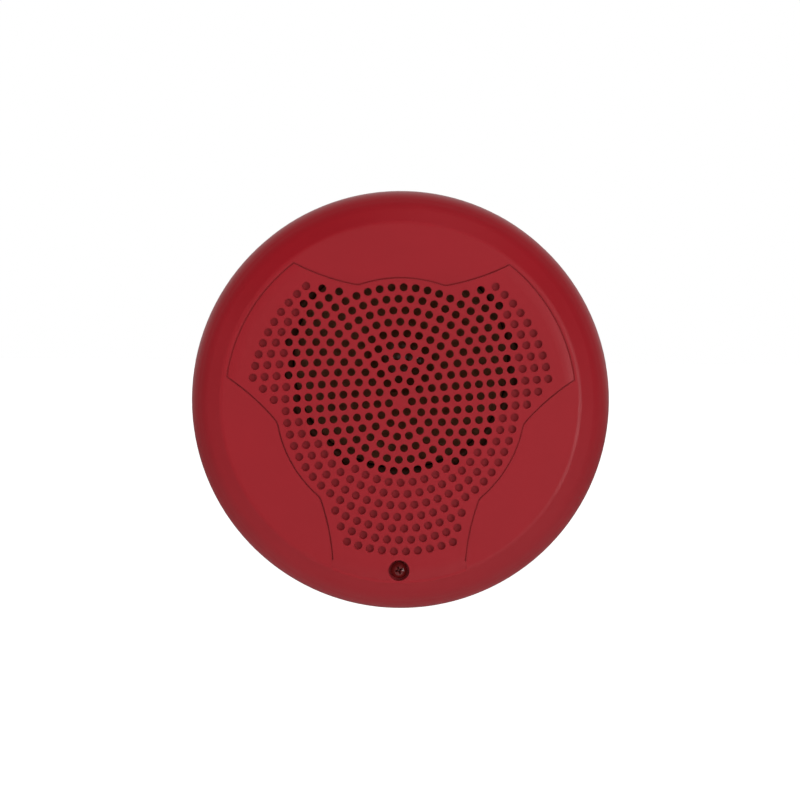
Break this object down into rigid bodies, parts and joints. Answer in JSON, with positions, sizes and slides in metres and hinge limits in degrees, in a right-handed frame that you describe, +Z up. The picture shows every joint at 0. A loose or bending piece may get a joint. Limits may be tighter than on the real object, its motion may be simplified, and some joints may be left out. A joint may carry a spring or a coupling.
{
  "type": "alarm siren",
  "caption": "Round red alarm sounder with a perforated three-lobed grille, a loudspeaker behind it, and a cover that hangs and tilts on a mounting plate.",
  "frame": {"origin": "on the wall plane, on the axis of the round body and at the centre of the rectangular box-screw pattern", "axes": "+X right seen from the room, +Y into the wall, +Z up; the front faces -Y"},
  "size_m": [0.1728, 0.0386, 0.1728],
  "materials": {
    "red_plastic": "satin moulded, fine texture",
    "red_paint": "semi-gloss paint on a steel screw",
    "ivory_plastic": "matte moulded",
    "black_plastic": "matte moulded",
    "grey_plastic": "satin moulded",
    "white_nylon": "matte",
    "zinc_steel": "zinc plated",
    "basket_steel": "black e-coat",
    "core_steel": "laminated",
    "ferrite": "ground, matte",
    "brass": "bright",
    "board_green": "solder mask",
    "black_epoxy": "moulded",
    "capacitor_sleeve": "shrink sleeve",
    "winding_tape": "polyester tape",
    "paper_cone": "pressed paper, black",
    "dust_cap": "gloss film",
    "surround_rubber": "matte",
    "spider_cloth": "impregnated weave",
    "former_paper": "kraft",
    "copper_wire": "enamelled",
    "gasket_foam": "closed cell",
    "phenolic": "laminate",
    "wire_red": "insulation",
    "wire_black": "insulation"
  },
  "bodies": {
    "mount": {"mounting_plate": "ivory_plastic", "terminal_block": "black_plastic", "terminal_screws": "zinc_steel", "terminal_clamps": "zinc_steel", "blade_sockets": "brass", "threaded_insert": "brass"},
    "head": {"front_housing": "red_plastic", "rear_cover": "black_plastic", "rear_cover_screws": "zinc_steel", "circuit_board": "board_green", "board_screws": "zinc_steel", "blade_pins": "brass", "transformer_core": "core_steel", "transformer_winding": "winding_tape", "capacitors": "capacitor_sleeve", "chips": "black_epoxy", "selector_body": "grey_plastic", "switch_body": "grey_plastic", "speaker_gasket": "gasket_foam", "speaker_basket": "basket_steel", "speaker_screws": "zinc_steel", "top_plate": "zinc_steel", "ring_magnet": "ferrite", "pole_yoke": "zinc_steel", "terminal_strip": "phenolic", "surround": "surround_rubber", "spider": "spider_cloth", "lead_red": "wire_red", "lead_black": "wire_black"},
    "diaphragm": {"cone": "paper_cone", "dust_cap": "dust_cap", "voice_coil_former": "former_paper", "voice_coil_winding": "copper_wire"},
    "retainer": {"screw_retainer": "white_nylon"},
    "screw": {"captive_screw": "red_paint"},
    "selector": {"selector_knob": "white_nylon"},
    "slider": {"switch_slider": "white_nylon"}
  },
  "joints": [
    {"name": "cover_tilt", "type": "hinge", "parent": "mount", "child": "head", "pos_m": [0, -0.011, 0.0755], "axis": [-1, 0, 0], "range_deg": [0, 35]},
    {"name": "cone_stroke", "type": "slide", "parent": "head", "child": "diaphragm", "axis": [0, -1, 0], "range_m": [-0.0008, 0.0008], "stiffness_N_per_m": 1800},
    {"name": "screw_travel", "type": "slide", "parent": "head", "child": "retainer", "axis": [0, -1, 0], "range_m": [0, 0.006]},
    {"name": "screw_turn", "type": "hinge", "parent": "retainer", "child": "screw", "pos_m": [0, -0.02, -0.0695], "axis": [0, -1, 0], "range_deg": [0, 2723]},
    {"name": "selector_turn", "type": "hinge", "parent": "head", "child": "selector", "pos_m": [-0.034, -0.016, -0.047], "axis": [0, 1, 0], "range_deg": [-45, 90]},
    {"name": "switch_slide", "type": "slide", "parent": "head", "child": "slider", "axis": [1, 0, 0], "range_m": [-0.002, 0.002]}
  ],
  "couplings": [
    {"joint": "screw_turn", "follows": "screw_travel", "rad_per_m": 7915.8}
  ]
}
